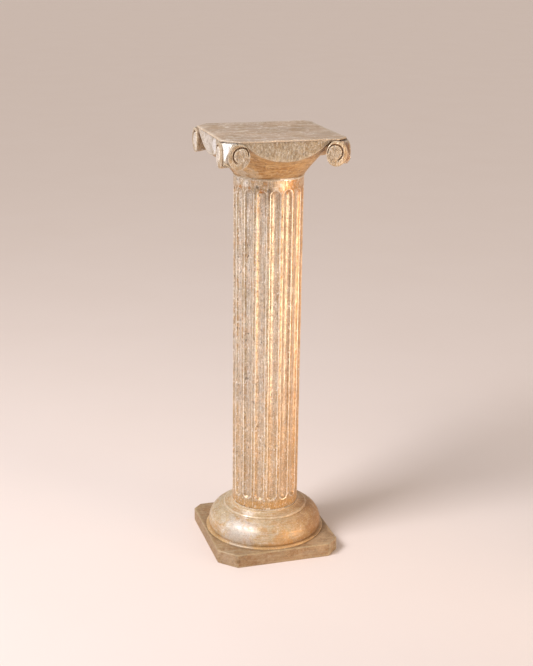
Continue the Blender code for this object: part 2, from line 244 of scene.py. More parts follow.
def canted_board(half, bottom, top, cants, edge_round, segments):
    """A square board with its four corners sawn off and its edges rounded."""
    bm = bmesh.new()
    middle = Matrix.Translation((0, 0, (bottom + top) / 2))
    size = Matrix.Diagonal((2 * half, 2 * half, top - bottom, 1))
    bmesh.ops.create_cube(bm, size=1, matrix=middle @ size)
    for turn, corner in enumerate(CORNERS):
        turned = Matrix.Rotation(turn * QUARTER_TURN, 3, "Z")
        cut_away(bm, turned @ Vector((half, -half + cants[corner], 0)), turned @ Vector((1, -1, 0)))
    bmesh.ops.bevel(
        bm, geom=bm.edges[:], offset=edge_round, offset_type="OFFSET",
        segments=segments, profile=0.5, affect="EDGES", material=-1,
    )
    return bm


def keep_inside(bm, low, high):
    """Hold every point between two corners of a box."""
    for v in bm.verts:
        v.co = [min(max(v.co[k], low[k]), high[k]) for k in range(3)]


def add_piece(name, parts, node, sharp_angle=48, overhang=0):
    """Join shapes into the object that stands for one node of the frame.

    No point leaves the node's box, but for the overhang on its four sides.
    """
    low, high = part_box(node)
    spread = Vector((overhang, overhang, 0))
    mesh = bpy.data.meshes.new(name)
    joined = bmesh.new()
    for bm in parts:
        bmesh.ops.recalc_face_normals(bm, faces=bm.faces)
        part_mesh = bpy.data.meshes.new("part")
        bm.to_mesh(part_mesh)
        bm.free()
        joined.from_mesh(part_mesh)
        bpy.data.meshes.remove(part_mesh)
    keep_inside(joined, low - spread, high + spread)
    joined.to_mesh(mesh)
    joined.free()
    mesh.shade_smooth()
    mesh.set_sharp_from_angle(angle=radians(sharp_angle))
    obj = bpy.data.objects.new(name, mesh)
    bpy.context.scene.collection.objects.link(obj)
    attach(obj, "root")
    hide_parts(node)
    return obj


# Plinth: a sawn square board with canted corners

def carve_plinth():
    bm = canted_board(PLINTH_HALF_WIDTH, 0, PLINTH_TOP, PLINTH_CANTS, PLINTH_EDGE_WEAR, segments=3)
    for axis in (0, 1):
        score(bm, axis, -PLINTH_HALF_WIDTH, PLINTH_HALF_WIDTH, PLINTH_GRID)
    score(bm, 2, 0, PLINTH_TOP, PLINTH_GRID)
    above_floor = lambda p: step_up(0, 2 * MM, p.z)
    work_surface(bm, 0.5 * MM, 26 * MM, 1, held=above_floor)
    work_surface(bm, 0.35 * MM, 9 * MM, 2, held=above_floor)
    return add_piece("plinth_board", [bm], "plinth", sharp_angle=32)


# Turned base: fillet, dome, bead and hollow

def carve_base():
    belly_radius = BASE_RADIUS - BASE_FILLET_PROJECTION
    seat_radius = SHAFT_FOOT_RADIUS + SEAT_MARGIN
    shoulder_radius = seat_radius + HOLLOW_WIDTH
    fillet_top = BASE_BOTTOM + BASE_FILLET_HEIGHT
    belly = fillet_top + DOME_BELLY_HEIGHT
    dome_top = fillet_top + DOME_HEIGHT
    bead = dome_top + BASE_BEAD_RADIUS
    profile = [(0, BASE_TOP)]
    profile += arc((shoulder_radius, BASE_TOP), HOLLOW_WIDTH, HOLLOW_HEIGHT, 180, 270, 12)
    profile += arc((shoulder_radius, bead), BASE_BEAD_RADIUS, BASE_BEAD_RADIUS, 90, -30, 9)[1:]
    profile += arc((shoulder_radius, belly), belly_radius - shoulder_radius, dome_top - belly, 79, 0, 28)
    profile += arc((belly_radius - DOME_TURN_IN, belly), DOME_TURN_IN, DOME_BELLY_HEIGHT, 0, -90, 8)[1:]
    edge = BASE_FILLET_HEIGHT / 3
    profile += arc((BASE_RADIUS - edge, fillet_top - edge), edge, edge, 90, 0, 3)
    profile += [(BASE_RADIUS, BASE_BOTTOM), (0, BASE_BOTTOM)]
    bm = turned_blank(profile, 240)

    def between_seats(p):
        """1 between the two flat seats, 0 on them."""
        return step_up(BASE_BOTTOM, BASE_BOTTOM + 2 * MM, p.z) * step_up(BASE_TOP, BASE_TOP - 2 * MM, p.z)

    work_surface(bm, 0.7 * MM, 45 * MM, 3, held=between_seats)
    work_surface(bm, 0.25 * MM, 11 * MM, 4, held=between_seats)
    return add_piece("turned_base", [bm], "base_moulding")


# Shaft: a turned column with hand-gouged flutes

def shaft_radius(height):
    share = (height - SHAFT_BOTTOM) / (SHAFT_TOP - SHAFT_BOTTOM)
    return SHAFT_FOOT_RADIUS + (SHAFT_NECK_RADIUS - SHAFT_FOOT_RADIUS) * share


def shaft_levels():
    """Heights of the rings: close together where the flutes end."""
    foot_zone = SHAFT_BOTTOM + FLUTE_FOOT_MARGIN + FLUTE_END_ZONE
    head_zone = SHAFT_TOP - FLUTE_HEAD_MARGIN - FLUTE_END_ZONE
    levels = [SHAFT_BOTTOM]
    while levels[-1] < SHAFT_TOP:
        near_end = levels[-1] < foot_zone or levels[-1] > head_zone
        levels.append(levels[-1] + (END_LEVEL_STEP if near_end else MIDDLE_LEVEL_STEP))
    return levels[:-1] + [SHAFT_TOP]


def carve_shaft():
    columns = FLUTE_COLUMNS + FILLET_COLUMNS
    pitch = 2 * pi / FLUTE_COUNT
    mean_radius = (SHAFT_FOOT_RADIUS + SHAFT_NECK_RADIUS) / 2
    fillet = FILLET_WIDTH / mean_radius
    profile = [(0, SHAFT_TOP)] + [(mean_radius, z) for z in reversed(shaft_levels())] + [(0, SHAFT_BOTTOM)]
    bm = turned_blank(profile, FLUTE_COUNT * columns)

    def gouged(point):
        """Where a point of the plain column goes, how deep it is cut, and how much orange glaze with painted
        shade lies under the flute's head.

        The arrises wave, wear round and end unevenly, as they do when each flute is cut by hand.
        """
        step = round((atan2(point.y, point.x) % (2 * pi)) / pitch * columns)
        flute, column = divmod(step, columns)
        flute %= FLUTE_COUNT
        radius = shaft_radius(point.z)
        own = Vector((flute * 3.7, 1.3, 0))
        if column <= FLUTE_COLUMNS:
            share = column / FLUTE_COLUMNS - 0.5
            angle = share * (pitch - fillet)
        else:
            share = None
            angle = (pitch - fillet) / 2 + (column - FLUTE_COLUMNS) / FILLET_COLUMNS * fillet
        half_width = (pitch - fillet) / 2 * radius
        half_width += 0.45 * MM * noise(Vector((flute * 5.1, 0, point.z / (60 * MM))))
        side = 1 if angle > 0 else -1
        wave = 0.4 * MM * noise(Vector((flute * 2.3 + side * 9.1, 4, point.z / (38 * MM))))
        foot = SHAFT_BOTTOM + FLUTE_FOOT_MARGIN + 2.2 * MM * noise(own) + half_width
        head = SHAFT_TOP - FLUTE_HEAD_MARGIN + 1.8 * MM * noise(own * 1.7) - half_width
        across = angle * radius + wave * (1 if share is not None else 0)
        beyond = max(foot - point.z, point.z - head, 0)
        reach = hypot(across, beyond)
        depth = FLUTE_DEPTH + 0.6 * MM * noise(Vector((flute * 1.9, 2, point.z / (90 * MM))))
        round_radius = (half_width ** 2 + depth ** 2) / (2 * depth)
        cut = 0
        if reach < half_width:
            cut = sqrt(round_radius ** 2 - reach ** 2) - (round_radius - depth)
        worn = ARRIS_WEAR * exp(-((reach - half_width) / ARRIS_WEAR_WIDTH) ** 2)
        worn *= 0.7 + 0.6 * noise(Vector((across * 60, flute, point.z / (14 * MM))))
        out = radius - cut - max(worn, 0)
        azimuth = FIRST_FLUTE_AZIMUTH + flute * pitch + across / radius
        from_head = hypot(across, point.z - (head + half_width - 2.5 * MM))
        head_shade = exp(-(from_head / FLUTE_HEAD_SHADE_REACH) ** 2) * step_up(-0.5, 0.5, noise(own * 2.9))
        return Vector((out * cos(azimuth), out * sin(azimuth), point.z)), cut / depth, head_shade

    depth_mark = bm.verts.layers.float.new("gouged")
    head_shade_mark = bm.verts.layers.float.new("flute_head_glaze_and_shade")
    for v in bm.verts:
        if hypot(v.co.x, v.co.y) > mean_radius / 2:
            v.co, v[depth_mark], v[head_shade_mark] = gouged(v.co)
    above_seat = lambda p: step_up(SHAFT_BOTTOM, SHAFT_BOTTOM + 3 * MM, p.z)
    work_surface(bm, 0.2 * MM, 9 * MM, 5, held=above_seat)
    return add_piece("fluted_shaft", [bm], "shaft", sharp_angle=60)


# Capital: bell, tongues, scrolls and corner wedges of one carved block

def side_recess(bow, along):
    """How far a slightly hollow side lies in, at a place along it."""
    return bow * (1 - (along / TOP_HALF_WIDTH) ** 2)


def below_board(depth):
    """A rule for work_surface: 0 where the board rests, 1 from this depth down."""
    return lambda p: step_up(CAPITAL_TOP, CAPITAL_TOP - depth, p.z)


def carve_bell():
    """The bell flares from the neck bead up to a drum behind the tongues."""
    foot_radius = SHAFT_NECK_RADIUS + BELL_FOOT_PROJECTION
    top_radius = TOP_HALF_WIDTH - BELL_SETBACK
    flare_bottom = CAPITAL_BOTTOM + 2 * NECK_BEAD_RADIUS
    profile = [(0, CAPITAL_TOP), (top_radius, CAPITAL_TOP)]
    low, high = foot_radius - BELL_STEP, top_radius
    steps = 26
    for i in range(steps + 1):
        share = 1 - i / steps
        sag = BELL_SAG * sin(pi * share)
        profile.append((low + (high - low) * share - sag, flare_bottom + BELL_HEIGHT * share))
    bead_centre = (foot_radius - NECK_BEAD_RADIUS, CAPITAL_BOTTOM + NECK_BEAD_RADIUS)
    profile += arc(bead_centre, NECK_BEAD_RADIUS, NECK_BEAD_RADIUS, 60, -90, 8)
    profile += [(0, CAPITAL_BOTTOM)]
    bm = turned_blank(profile, 200)
    for face in bm.faces:
        height = face.calc_center_median().z
        # The bead takes the paler finish of the scroll bands, a painted highlight along it
        face.material_index = BURNISHED if height < CAPITAL_BOTTOM + 1.9 * NECK_BEAD_RADIUS else BRUSHED
    above_bead = lambda p: step_up(CAPITAL_BOTTOM, CAPITAL_BOTTOM + 4 * MM, p.z)
    work_surface(bm, 0.8 * MM, 30 * MM, 6, held=above_bead)
    work_surface(bm, 0.35 * MM, 8 * MM, 7, held=above_bead)
    return bm


def carve_tongues(turn):
    """A bar between two opposite sides; its ends are the curved tongues.

    The bar is drawn out with a plain section, whose rows are then set to the real depths:
    face rows down to the lip, then the rounded edge and the cove, one millimetre a row.
    """
    near, far = SIDES[turn], SIDES[turn + 2]
    scroll_edge = TOP_HALF_WIDTH - SCROLL_INSET - SCROLL_HALF_WIDTH
    half_span = scroll_edge + 1 * MM
    rise = TONGUE_DROP - TONGUE_END_DROP
    curve_radius = (half_span ** 2 + rise ** 2) / (2 * rise)
    face = TOP_HALF_WIDTH - TONGUE_SETBACK
    top, edge = 0.0, -1.0
    rows, edge_rows, cove_rows = 9, 5, 10
    section = [(-face, top + (edge - top) * i / rows) for i in range(rows)]
    section += [(-face + MM * i, edge - MM * i) for i in range(1, edge_rows + cove_rows + 1)]
    section += [(-y, z) for y, z in reversed(section)]
    reach = scroll_edge + TONGUE_LAP
    count = 56
    bm = drawn_bar(section, [reach * (2 * i / count - 1) for i in range(count + 1)])

    def shaped(point):
        along = point.x
        side = -1 if point.y < 0 else 1
        bow = SIDE_BOWS[near] if side < 0 else SIDE_BOWS[far]
        surface = face - side_recess(bow, along)
        arc_height = curve_radius - sqrt(curve_radius ** 2 - along ** 2)
        lip = CAPITAL_TOP - max(TONGUE_DROP - arc_height, 3 * MM)
        lip += 0.7 * MM * noise(Vector((along / (22 * MM), side * 3.1, turn * 2.7)))
        back = face - abs(point.y)
        if point.z >= edge:
            height = CAPITAL_TOP + (lip + TONGUE_EDGE_ROUND - CAPITAL_TOP) * (point.z - top) / (edge - top)
            return Vector((along, side * surface, height))
        row = back / (1 * MM)
        if row <= edge_rows:
            rounding = TONGUE_EDGE_ROUND * (1 - sin(row / edge_rows * QUARTER_TURN))
            return Vector((along, side * (surface - TONGUE_EDGE_ROUND + rounding), lip + rounding))
        share = (row - edge_rows) / cove_rows
        inward = TONGUE_EDGE_ROUND + (TONGUE_COVE_DEPTH - TONGUE_EDGE_ROUND) * share
        return Vector((along, side * (surface - inward), lip - TONGUE_COVE_DROP * share ** 1.3))

    for cell in bm.faces:
        lowest = min(v.co.z for v in cell.verts)
        cell.material_index = STIPPLED if lowest > edge - 4.5 * MM else BRUSHED
    for v in bm.verts:
        v.co = shaped(v.co)
    work_surface(bm, 0.5 * MM, 14 * MM, 8 + turn, held=below_board(3 * MM))
    work_surface(bm, 0.3 * MM, 5 * MM, 10 + turn, held=below_board(3 * MM))
    turn_to_side(bm, turn)
    return bm


def carve_scroll(turn, hand):
    """One scroll: a round eye, the groove that curls round it, and the rounded band."""
    eye = Vector((TOP_HALF_WIDTH - EYE_INSET, CAPITAL_TOP - EYE_DROP))
    centre = Vector((TOP_HALF_WIDTH - SCROLL_INSET, CAPITAL_TOP - SCROLL_DROP))
    disc_rows, groove_rows, band_rows, side_rows = 12, 8, 9, 10
    rows = disc_rows + groove_rows + band_rows + side_rows
    profile = [(row / rows, 0) for row in range(rows + 1)]
    bm = turned_blank(profile, 96)
    face_level = -TOP_HALF_WIDTH - SCROLL_PROJECTION

    def outline(angle):
        """Distance from the eye to the scroll's oval rim in one direction."""
        direction = Vector((cos(angle), sin(angle)))
        start = eye - centre
        a = (direction.x / SCROLL_HALF_WIDTH) ** 2 + (direction.y / SCROLL_HALF_HEIGHT) ** 2
        b = start.x * direction.x / SCROLL_HALF_WIDTH ** 2
        b += start.y * direction.y / SCROLL_HALF_HEIGHT ** 2
        c = (start.x / SCROLL_HALF_WIDTH) ** 2 + (start.y / SCROLL_HALF_HEIGHT) ** 2 - 1
        return (-b + sqrt(b * b - a * c)) / a

    def winding(angle):
        """Middle of the groove, how deep it is and how far the band stands free of the eye."""
        turned = (degrees(pi - angle) + 30) % 360 - 30
        deep = step_up(-14, 6, turned) * step_up(262, 225, turned)
        run_in = GROOVE_RUN_IN * min(max(1 - turned / 120, 0), 1) ** 2
        free = step_up(8, 40, turned) * step_up(292, 245, turned)
        return GROOVE_RADIUS + run_in, deep, free

    def placed(point):
        """Where a point of the plain disc goes: eye, groove, band and side, row by row."""
        angle = atan2(point.y, point.x)
        row = round(hypot(point.x, point.y) * rows)
        rim = outline(angle)
        middle, deep, free = winding(angle)
        inner = min(middle - GROOVE_WIDTH / 2, rim - EYE_MARGIN)
        outer = min(middle + GROOVE_WIDTH / 2, rim - GROOVE_MARGIN)
        if row <= disc_rows:
            share = row / disc_rows
            radius = inner * share
            height = -EYE_SINK - 0.5 * MM * share ** 2 - 0.6 * MM * deep * step_up(0.9, 1, share)
        elif row <= disc_rows + groove_rows:
            share = (row - disc_rows) / groove_rows
            radius = inner + (outer - inner) * share
            height = -(1.6 + 0.6 * deep) * MM + (0.2 + free) * MM * step_up(0.5, 1, share) * deep
            height -= GROOVE_DEPTH * deep * (1 - (2 * share - 1) ** 2) ** 0.8
        elif row <= disc_rows + groove_rows + band_rows:
            share = (row - disc_rows - groove_rows) / band_rows
            radius = outer + (rim - outer) * share
            crown = 1 - (2 * share - 0.75) ** 2 if share < 0.375 else 1 - ((share - 0.375) / 0.625) ** 2.4
            banded = -BAND_SINK - BAND_ROUNDING * (1 - crown) * (0.35 if share < 0.375 else 1)
            plain = -PLAIN_SINK - PLAIN_ROUNDING * max((share - 0.55) / 0.45, 0) ** 2
            height = plain + (banded - plain) * free
        else:
            share = (row - disc_rows - groove_rows - band_rows) / side_rows
            radius, height = rim, -RIM_SINK - (SCROLL_DEPTH + SCROLL_PROJECTION - RIM_SINK) * share
            x, z = eye.x + radius * cos(angle) - centre.x, eye.y + radius * sin(angle) - centre.y
            back = step_up(-0.15, 1.15, share) * 0.5 + share * 0.5
            x *= 1 + (SCROLL_BACK_WIDTH_SCALE - 1) * back
            z *= 1 + (SCROLL_BACK_HEIGHT_SCALE - 1) * back
            return Vector((centre.x + x + SCROLL_BACK_SHIFT * back, face_level - height, centre.y + z))
        return Vector((eye.x + radius * cos(angle), face_level - height, eye.y + radius * sin(angle)))

    for face in bm.faces:
        middle = face.calc_center_median()
        row = hypot(middle.x, middle.y) * rows
        free = winding(atan2(middle.y, middle.x))[2]
        last = disc_rows + groove_rows + band_rows - 3 if free < 0.5 else disc_rows + 2
        face.material_index = DOTTED if row < last else BURNISHED
    for v in bm.verts:
        v.co = placed(v.co)
    back_rim = [e for e in bm.edges if len(e.link_faces) == 1]
    bmesh.ops.contextual_create(bm, geom=back_rim)
    seed = 12 + 2 * turn + (hand > 0)
    work_surface(bm, 0.35 * MM, 9 * MM, seed, held=below_board(2 * MM))
    work_surface(bm, 0.25 * MM, 3.5 * MM, seed + 10, held=below_board(2 * MM))
    turn_to_side(bm, turn, hand)
    return bm


def carve_corner(turn):
    """The wedge behind a pair of scrolls, with its bright three-cornered facet."""
    reach = TOP_HALF_WIDTH + SCROLL_PROJECTION
    outer = reach - TONGUE_SETBACK
    inner = outer - CORNER_BLOCK_DEPTH
    bottom, top = CAPITAL_TOP - CORNER_BLOCK_DROP, CAPITAL_TOP
    size = Vector((outer - inner, outer - inner, top - bottom))
    centre = Vector(((outer + inner) / 2, -(outer + inner) / 2, (top + bottom) / 2))
    bm = bmesh.new()
    bmesh.ops.create_cube(bm, size=1, matrix=Matrix.Translation(centre) @ Matrix.Diagonal((*size, 1)))
    slope = (FACET_HEAD_CANT - FACET_FOOT_CANT) / FACET_FOOT_DROP
    foot = (reach, -reach + FACET_FOOT_CANT, CAPITAL_TOP - FACET_FOOT_DROP)
    cut_away(bm, foot, (1, -1, slope))
    cut_away(bm, foot, (1, -1, -FACET_UNDERCUT))
    flank = TOP_HALF_WIDTH - SCROLL_INSET - SCROLL_HALF_WIDTH + CORNER_BLOCK_LAP
    normal = Vector((inner - outer, inner - flank, 0))
    cut_away(bm, (flank, -outer, top), normal)
    cut_away(bm, (outer, -flank, top), (-normal.y, -normal.x, 0))
    cut_away(bm, (outer - CORNER_BLOCK_SETBACK, 0, 0), (1, 0, 0))
    cut_away(bm, (0, CORNER_BLOCK_SETBACK - outer, 0), (0, -1, 0))
    for axis, low, high in ((0, inner, outer), (1, -outer, -inner), (2, bottom, top)):
        score(bm, axis, low, high, 3 * MM)
    for face in bm.faces:
        face.material_index = SILVERED
    work_surface(bm, 0.4 * MM, 12 * MM, 33 + turn, held=below_board(2 * MM))
    turn_to_side(bm, turn)
    return bm


def open_joint(bm):
    """The joint under the board gapes along the front right corner."""
    corner = 2 * TOP_HALF_WIDTH
    for v in bm.verts:
        near_cant = step_up(corner - 34 * MM, corner - 28 * MM, v.co.x - v.co.y)
        near_top = step_up(CAPITAL_TOP - 9 * MM, CAPITAL_TOP, v.co.z)
        widening = 0.5 + 0.5 * step_up(112 * MM, 138 * MM, v.co.x)
        v.co.z -= JOINT_GAPE * near_cant * near_top * widening


def carve_capital():
    parts = [carve_bell(), carve_tongues(0), carve_tongues(1)]
    for turn in range(len(CORNERS)):
        parts.append(carve_corner(turn))
        for hand in (1, -1):
            parts.append(carve_scroll(turn, hand))
    for bm in parts:
        open_joint(bm)
    return add_piece("carved_capital", parts, "capital", 50, overhang=SCROLL_PROJECTION)


# Top board: thin, with canted corners and slightly hollow sides

def saw_board():
    half = TOP_HALF_WIDTH
    bm = canted_board(half, BOARD_BOTTOM, BOARD_TOP, TOP_CANTS, BOARD_EDGE_ROUND, segments=2)
    for axis in (0, 1):
        score(bm, axis, -half, half, BOARD_GRID)
    for v in bm.verts:
        for axis, low_side, high_side in ((1, "front", "back"), (0, "left", "right")):
            along = v.co[1 - axis]
            side = low_side if v.co[axis] < 0 else high_side
            v.co[axis] *= 1 - side_recess(SIDE_BOWS[side], along) / half
    above_capital = lambda p: step_up(BOARD_BOTTOM, BOARD_TOP, p.z)
    work_surface(bm, 0.25 * MM, 30 * MM, 40, held=above_capital)
    return add_piece("top_board_slab", [bm], "top_board", sharp_angle=40)


# Camera, and the helpers for materials

def set_camera():
    """The camera that took the reference, found again from the object's own lines."""
    data = bpy.data.cameras.new("camera")
    data.lens = CAMERA_LENS
    data.sensor_width = CAMERA_LONG_SIDE
    data.clip_end = 200
    forward = CAMERA_FORWARD.normalized()
    level = forward.cross(Vector((0, 0, 1))).normalized()
    upright = level.cross(forward)
    right = cos(CAMERA_ROLL) * level + sin(CAMERA_ROLL) * upright
    up = cos(CAMERA_ROLL) * upright - sin(CAMERA_ROLL) * level
    camera = bpy.data.objects.new("camera", data)
    pose = Matrix((right, up, -forward)).transposed().to_4x4()
    pose.translation = CAMERA_PLACE
    camera.matrix_world = pose
    bpy.context.scene.collection.objects.link(camera)
    bpy.context.scene.camera = camera


def linear(hex_colour):
    """An sRGB hex colour as linear RGBA."""
    channels = [int(hex_colour[i:i + 2], 16) / 255 for i in (0, 2, 4)]
    return (*[c / 12.92 if c <= 0.04045 else ((c + 0.055) / 1.055) ** 2.4 for c in channels], 1)


def add_node(tree, kind, sockets, **settings):
    """Add a node with its settings; each socket gets a number, a colour or a link."""
    node = tree.nodes.new(kind)
    for name, value in settings.items():
        setattr(node, name, value)
    for socket, value in sockets.items():
        if isinstance(value, bpy.types.NodeSocket):
            tree.links.new(value, node.inputs[socket])
        else:
            node.inputs[socket].default_value = value
    return node.outputs


def reckon(tree, operation, *values):
    """One step of arithmetic on masks and numbers."""
    return add_node(tree, "ShaderNodeMath", dict(enumerate(values)), operation=operation)["Value"]


def ramp(tree, value, low, high):
    """A mask that is 0 at low, 1 at high and smooth between them."""
    return add_node(
        tree, "ShaderNodeMapRange", {"Value": value, "From Min": low, "From Max": high},
        interpolation_type="SMOOTHSTEP",
    )["Result"]


def blend(tree, share, first, second):
    """A number that goes from the first to the second with a mask."""
    return add_node(tree, "ShaderNodeMix", {0: share, 2: first, 3: second}, data_type="FLOAT")[0]


def per_metre(size):
    """Scale of a pattern whose marks are this long."""
    return 1 / size


# Finishes: metal leaf and tinted glaze on carved wood, rubbed back and limed, with painted light and painted
# shade laid into the colour

# Marks are drawn out by these shares along the gouge, the brush or the saw, and round the lathe
STRETCH = {"up": (1, 1, 0.045), "short_up": (1, 1, 0.35), "across": (0.1, 1, 1)}
ROUND_STRETCH = 0.1
LATHE_SLOPE = {"lathe_in": -1, "lathe_out": 1}

# Bands and patches fade from 0 to full between these shares of their own reach
FADE_START, FADE_END = 1.4, 0.6
RAGGEDNESS = 0.5

FINE_GRAIN = 2.4 * MM
LIMED_ROUGHNESS = 0.72
HANDLING_POLISH = 0.08
# Orange glaze under the flute heads, which also stands in for their shade
FLUTE_HEAD_SHADE_GLAZE = "B0742E"
FLUTE_HEAD_SHADE_SHARE = 0.8
# Share of glaze laid over the right side as painted warm light
WARM_LIGHT_SIDE_SHARE = 0.6


def run_of_marks(tree, place, run):
    """Coordinates in which marks stretch along the gouge, the saw or the lathe tool."""
    if run in STRETCH:
        return add_node(tree, "ShaderNodeMapping", {"Vector": place, "Scale": STRETCH[run]})["Vector"]
    along = add_node(tree, "ShaderNodeSeparateXYZ", {"Vector": place})
    flat = add_node(tree, "ShaderNodeVectorMath", {0: place, 1: (1, 1, 0)}, operation="MULTIPLY")["Vector"]
    radius = add_node(tree, "ShaderNodeVectorMath", {0: flat}, operation="LENGTH")["Value"]
    profile = reckon(tree, "MULTIPLY_ADD", radius, LATHE_SLOPE[run], along["Z"])
    drawn = add_node(tree, "ShaderNodeVectorMath", {0: flat, "Scale": ROUND_STRETCH}, operation="SCALE")
    lift = add_node(tree, "ShaderNodeCombineXYZ", {"Z": profile})["Vector"]
    return add_node(tree, "ShaderNodeVectorMath", {0: drawn["Vector"], 1: lift}, operation="ADD")["Vector"]


def worn_gilding(name, look):
    """A rubbed and limed gilding; the look gives its colours, sizes and shares.

    Masks say where each layer shows. The layers are laid over the ground in this order: glaze, leaf,
    silver, painted warm light on the right side, pale painted light on the flute floors, dark streaks,
    bands and patches (some of them painted highlights and painted shade), orange glaze with painted
    shade under the flute heads, dirt with painted shade in the hollows, lime, punch dots, flecks, and
    rubbed edges lightened partly as a painted highlight.
    """
    material = bpy.data.materials.new(name)
    material.use_nodes = True
    tree = material.node_tree
    shader = tree.nodes["Principled BSDF"]
    place = add_node(tree, "ShaderNodeTexCoord", {})["Object"]
    drawn = run_of_marks(tree, place, look["run"])
    tall_marks = {"Vector": place, "Scale": (1, 1, look["tall"])}
    upright = add_node(tree, "ShaderNodeMapping", tall_marks)["Vector"]

    masks = {}
    for seed, (mask, source, size, low, high) in enumerate((
        ("glaze", place, look["patch"], 0.56 - look["glazed"] * 0.2, 0.66 - look["glazed"] * 0.2),
        ("leaf", upright, look["mottle"], 0.60 - look["leafed"] * 0.25, 0.74 - look["leafed"] * 0.25),
        ("silver", drawn, look["streak"] * 1.2, 0.48, 0.60),
        ("dark_streak", drawn, look["streak"] * 0.9, 0.52, 0.64),
        ("lime", upright, look["streak"] * 1.3, 0.55, 0.66),
        ("fleck", upright, look["fleck_size"], 0.56, 0.63),
        ("cluster", place, look["patch"] * 0.5, 0.46, 0.58),
        ("tone", place, look["patch"] * 1.7, 0.3, 0.7),
        ("fine", place, FINE_GRAIN, 0.3, 0.7),
    )):
        pattern = {"Vector": source, "W": look["seed"] + seed * 3.7, "Scale": per_metre(size)}
        pattern |= {"Detail": 4, "Roughness": 0.58}
        cloud = add_node(tree, "ShaderNodeTexNoise", pattern, noise_dimensions="4D")["Fac"]
        masks[mask] = ramp(tree, cloud, low, high)
    for mask, low, high in (
        ("sheltered", *look["shelter"]), ("worn", 0.14, 0.42), ("gouged", 0.35, 1.0), ("flute_head_glaze_and_shade", 0.1, 0.8),
    ):
        reading = add_node(tree, "ShaderNodeAttribute", {}, attribute_name=mask)["Fac"]
        masks[mask] = ramp(tree, reading, low, high)
    dots = {"Vector": place, "Scale": per_metre(look["punch_size"])}
    punches = add_node(tree, "ShaderNodeTexVoronoi", dots)
    masks["punch"] = add_node(
        tree, "ShaderNodeMapRange", {"Value": punches["Distance"], "From Min": 0.42, "From Max": 0.1},
    )["Result"]
    along = add_node(tree, "ShaderNodeSeparateXYZ", {"Vector": place})
    # Flecks thin out towards the right, by the same share as the painted warm side
    left_side = add_node(
        tree, "ShaderNodeMapRange",
        {"Value": along["X"], "From Min": 90 * MM, "From Max": -60 * MM, "To Min": 1 - look["painted_warm_side_and_fleck_fade"]},
    )["Result"]
    masks["fleck"] = reckon(tree, "MULTIPLY", masks["fleck"], masks["cluster"])
    masks["fleck"] = reckon(tree, "MULTIPLY", masks["fleck"], left_side)
    # the right side, where warm light is painted into the colour
    masks["right"] = ramp(tree, along["X"], -30 * MM, 80 * MM)
    for band, (low, high, _, _) in enumerate(look["bands"]):
        middle, half = (low + high) / 2, (high - low) / 2
        far = reckon(tree, "ABSOLUTE", reckon(tree, "SUBTRACT", along["Z"], middle))
        masks[f"band_{band}"] = ramp(tree, far, FADE_START * half, FADE_END * half)
    for spot, (middle_mm, reach_mm, _, _) in enumerate(look["spots"]):
        middle, reach = tuple(c * MM for c in middle_mm), reach_mm * MM
        away = add_node(tree, "ShaderNodeVectorMath", {0: place, 1: middle}, operation="DISTANCE")["Value"]
        ragged = reckon(tree, "MULTIPLY_ADD", masks["cluster"], RAGGEDNESS * reach, away)
        masks[f"spot_{spot}"] = ramp(tree, ragged, FADE_START * reach, FADE_END * reach)

    layers = [
        ("glaze", look["glaze"], look["glaze_share"]),
        ("leaf", look["leaf"], look["leaf_share"]),
        ("silver", look["silver"], look["silver_share"]),
        # painted warm light: glaze over the right side
        ("right", look["glaze"], look["painted_warm_side_and_fleck_fade"] * WARM_LIGHT_SIDE_SHARE),
        # flute floors painted paler: painted light where the light falls into the flutes
        ("gouged", look["flute_floor_light"], look["flute_floor_light_share"]),
        ("dark_streak", look["shade"], look["shade_share"]),
    ]
    layers += [(f"band_{i}", band[2], band[3]) for i, band in enumerate(look["bands"])]
    layers += [(f"spot_{i}", spot[2], spot[3]) for i, spot in enumerate(look["spots"])]
    layers += [
        # orange glaze and painted shade under the flute heads
        ("flute_head_glaze_and_shade", FLUTE_HEAD_SHADE_GLAZE, FLUTE_HEAD_SHADE_SHARE),
        # dirt and painted shade: darker where short rays meet wood, in hollows, creases and between parts
        ("sheltered", look["shade"], look["dirt_and_shade_share"]),
        ("lime", look["chalk"], look["chalk_share"]),
        ("punch", look["shade"], look["punch_share"]),
        ("fleck", look["fleck"], look["fleck_share"]),
        # rubbed edges, lightened on sharp convex turns: real wear and a painted highlight along the arrises
        ("worn", look["rub_highlight"], look["rub_highlight_share"]),
    ]
    colour = linear(look["ground"])
    for mask, tint, share in layers:
        cover = reckon(tree, "MULTIPLY", masks[mask], share)
        coats = {0: cover, 6: colour, 7: linear(tint)}
        colour = add_node(tree, "ShaderNodeMix", coats, data_type="RGBA")[2]
    for mask, low, high in (("tone", 0.88, 1.08), ("fine", 1 - look["speckle"], 1 + look["speckle"])):
        shading = {"Value": masks[mask], "To Min": low, "To Max": high}
        toned = add_node(tree, "ShaderNodeMapRange", shading)["Result"]
        colour = add_node(
            tree, "ShaderNodeVectorMath", {0: colour, "Scale": toned}, operation="SCALE"
        )["Vector"]
    tree.links.new(colour, shader.inputs["Base Color"])

    gleam = reckon(tree, "MULTIPLY_ADD", masks["leaf"], look["metal"] * 0.5, look["metal"] * 0.5)
    dull = reckon(tree, "MAXIMUM", masks["fleck"], masks["lime"])
    gleam = blend(tree, dull, gleam, 0.0)
    tree.links.new(gleam, shader.inputs["Metallic"])

    rough = add_node(
        tree, "ShaderNodeMapRange",
        {"Value": masks["fine"], "To Min": look["rough"] - 0.06, "To Max": look["rough"] + 0.1},
    )["Result"]
    rough = blend(tree, dull, rough, LIMED_ROUGHNESS)
    rough = blend(tree, masks["worn"], rough, look["rough"] - HANDLING_POLISH)
    tree.links.new(rough, shader.inputs["Roughness"])

